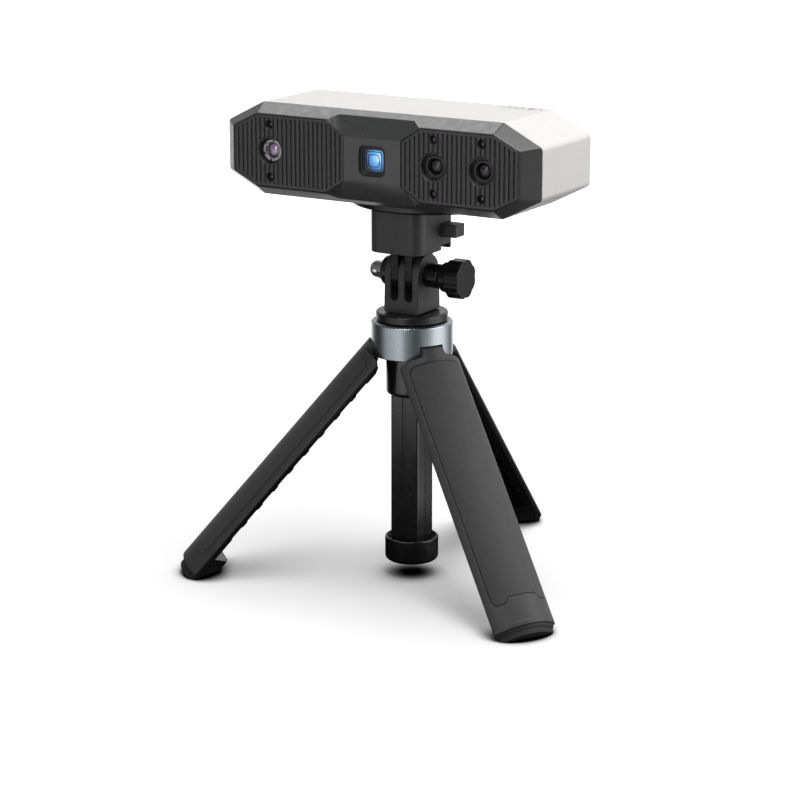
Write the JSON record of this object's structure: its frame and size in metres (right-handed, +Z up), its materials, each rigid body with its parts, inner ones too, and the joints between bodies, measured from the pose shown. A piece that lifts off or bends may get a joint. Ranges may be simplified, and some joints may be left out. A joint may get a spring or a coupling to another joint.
{
  "type": "handheld scanner",
  "caption": "Handheld 3D scanner head with ribbed faceted front, cameras and projector, on a tilting clevis and a folding mini tripod grip with telescopic pole.",
  "frame": {"origin": "on the ground, in the middle of the whole part's footprint box at rest; the pole axis is at x = 0, a little in front of it", "axes": "+Z up along the pole, -Y the way the scanner looks, +X towards the end with two cameras and the clamp knob"},
  "size_m": [0.1694, 0.1506, 0.1931],
  "materials": {
    "white_shell": "fine satin moulding, light warm grey",
    "bezel_dark": "satin dark grey moulding",
    "rib_panel": "dark grey moulding with upright grooves",
    "black_plastic": "black moulding",
    "grip_plastic": "fine-grained dark grey moulding",
    "soft_grip": "soft-touch dark grey",
    "foot_rubber": "black rubber",
    "knob_black": "glossy black",
    "pole_black": "black anodised, glossy",
    "ring_grey": "brushed grey anodised",
    "aluminium": "plain",
    "steel": "plain",
    "chrome": "polished",
    "brass": "plain",
    "circuit_board": "green solder mask",
    "barrel_grey": "light grey anodised",
    "lens_violet": "coated, pale violet",
    "lens_purple": "coated, dark purple",
    "blue_glass": "blue coated",
    "flash_lens": "dark clear resin",
    "light_pipe": "clear light guide",
    "button_grey": "satin light grey",
    "nylon": "plain nylon"
  },
  "bodies": {
    "hub": {"hub_ring": "ring_grey", "hub_core": "black_plastic", "hinge_pins": "steel", "pole_barrel": "pole_black", "barrel_collar": "pole_black", "barrel_cap": "pole_black"},
    "front_left_leg": {"front_left_leg": "grip_plastic", "front_left_grip": "soft_grip", "front_left_foot": "foot_rubber"},
    "front_right_leg": {"front_right_leg": "grip_plastic", "front_right_grip": "soft_grip", "front_right_foot": "foot_rubber"},
    "rear_leg": {"rear_leg": "grip_plastic", "rear_grip": "soft_grip", "rear_foot": "foot_rubber"},
    "middle_section": {"pole_middle": "aluminium", "middle_bush": "nylon"},
    "neck": {"pole_inner": "aluminium", "inner_bush": "nylon", "pole_head": "black_plastic", "clevis": "grip_plastic", "nut_cup": "black_plastic", "acorn_nut": "chrome"},
    "knob": {"clamp_screw": "steel", "clamp_knob": "knob_black"},
    "head": {"rear_housing": "white_shell", "front_bezel": "bezel_dark", "left_grille": "rib_panel", "right_grille": "rib_panel", "projector_frame": "black_plastic", "projector_window": "blue_glass", "projector_module": "black_plastic", "projector_lens": "blue_glass", "left_camera_barrel": "barrel_grey", "middle_camera_barrel": "black_plastic", "right_camera_barrel": "black_plastic", "left_camera_lens": "lens_violet", "middle_camera_lens": "lens_purple", "right_camera_lens": "lens_purple", "camera_boards": "circuit_board", "flash_lights": "flash_lens", "flash_boards": "circuit_board", "optical_bench": "aluminium", "bench_screws": "steel", "main_board": "circuit_board", "board_screws": "steel", "heat_sink": "aluminium", "usb_socket": "steel", "status_light": "light_pipe", "button_switch": "black_plastic", "housing_screws": "steel", "base_plate": "black_plastic", "thread_insert": "brass", "quick_shoe": "grip_plastic", "shoe_screw": "steel", "adapter_block": "grip_plastic", "latch_spring": "steel"},
    "latch": {"latch_lever": "grip_plastic"},
    "button": {"scan_button": "button_grey"}
  },
  "joints": [
    {"name": "front_left_leg_fold", "type": "hinge", "parent": "hub", "child": "front_left_leg", "pos_m": [-0.01082, -0.02594, 0.09807], "axis": [0.5, -0.866, 0], "range_deg": [0, 40]},
    {"name": "front_right_leg_fold", "type": "hinge", "parent": "hub", "child": "front_right_leg", "pos_m": [0.01082, -0.02594, 0.09807], "axis": [0.5, 0.866, 0], "range_deg": [0, 40]},
    {"name": "rear_leg_fold", "type": "hinge", "parent": "hub", "child": "rear_leg", "pos_m": [0, -0.00719, 0.09807], "axis": [-1, 0, 0], "range_deg": [0, 40]},
    {"name": "middle_section_slide", "type": "slide", "parent": "hub", "child": "middle_section", "axis": [0, 0, 1], "range_m": [0, 0.058]},
    {"name": "inner_section_slide", "type": "slide", "parent": "middle_section", "child": "neck", "axis": [0, 0, 1], "range_m": [0, 0.058]},
    {"name": "head_tilt", "type": "hinge", "parent": "neck", "child": "head", "pos_m": [0, -0.01969, 0.12537], "axis": [1, 0, 0], "range_deg": [-90, 90]},
    {"name": "knob_turn", "type": "hinge", "parent": "neck", "child": "knob", "pos_m": [0, -0.01969, 0.12537], "axis": [1, 0, 0], "continuous": true},
    {"name": "latch_press", "type": "slide", "parent": "head", "child": "latch", "axis": [-1, 0, 0], "range_m": [0, 0.002], "stiffness_N_per_m": 900, "springref_m": -0.002, "deforming": ["latch_spring"]},
    {"name": "button_press", "type": "slide", "parent": "head", "child": "button", "axis": [0, 0, -1], "range_m": [0, 0.0006], "stiffness_N_per_m": 1500, "springref_m": -0.0006}
  ]
}
